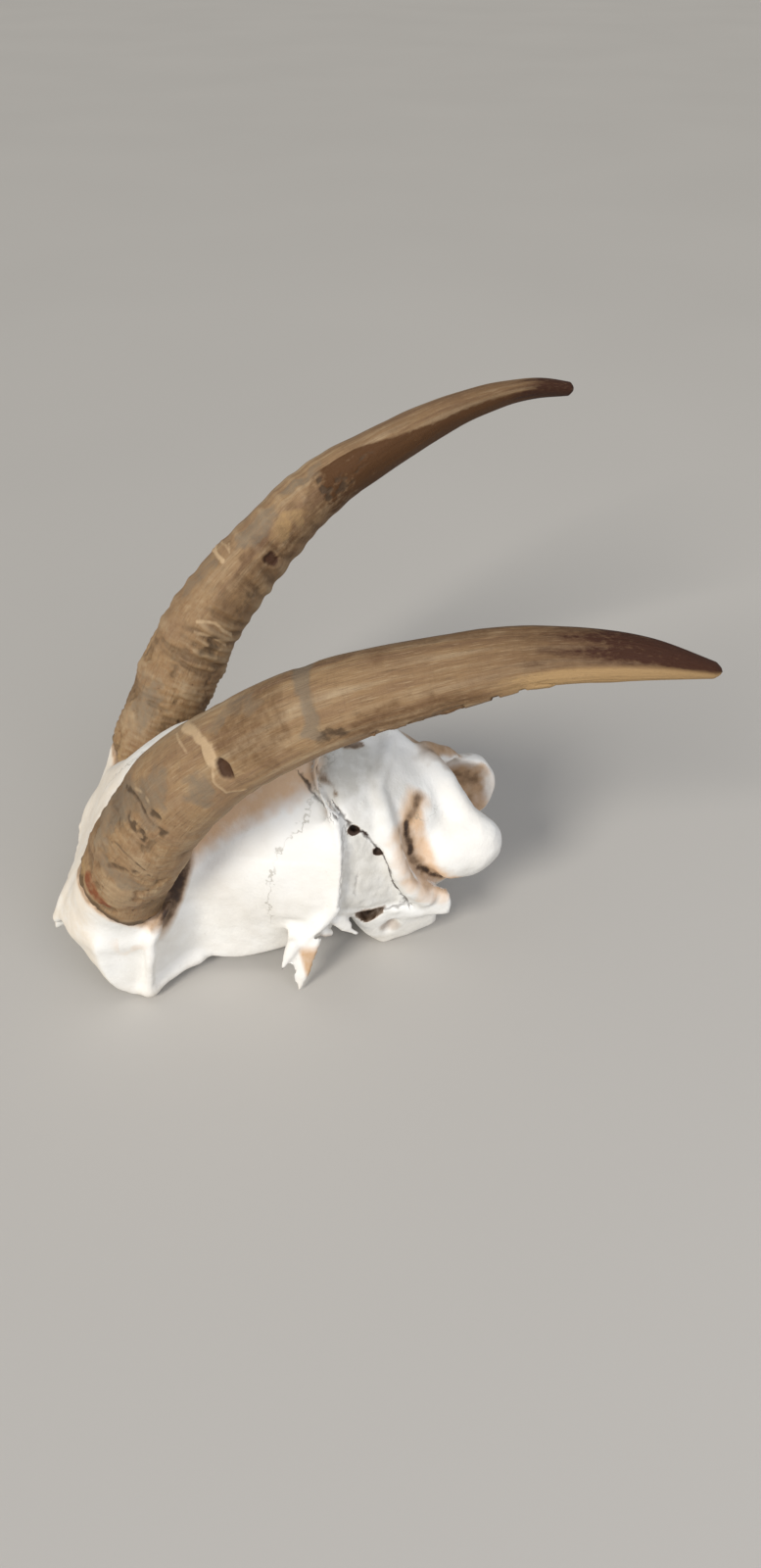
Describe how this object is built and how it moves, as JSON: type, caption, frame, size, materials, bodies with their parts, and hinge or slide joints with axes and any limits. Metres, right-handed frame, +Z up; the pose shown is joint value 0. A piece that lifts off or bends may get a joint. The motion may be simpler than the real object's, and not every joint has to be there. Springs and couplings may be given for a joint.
{
  "type": "horned antelope cranium",
  "caption": "Bleached partial antelope cranium with its two brown, backward-sweeping horn sheaths, resting on the eye-socket tips and ear capsules.",
  "frame": {"origin": "centre of the bounding box in X and Y, on the surface that the skull rests on", "axes": "+X towards the animal's left, +Y towards the back of the head, +Z up; the median plane of the skull is X = 0"},
  "size_m": [0.1986, 0.1936, 0.1682],
  "materials": {
    "bone": "bleached dry bone, matt, chalk white with tan stains",
    "horn": "weathered brown horn keratin, satin to matt, finely striated"
  },
  "bodies": {
    "root": {"cranium": "bone", "left_horn": "horn", "right_horn": "horn"}
  },
  "joints": []
}
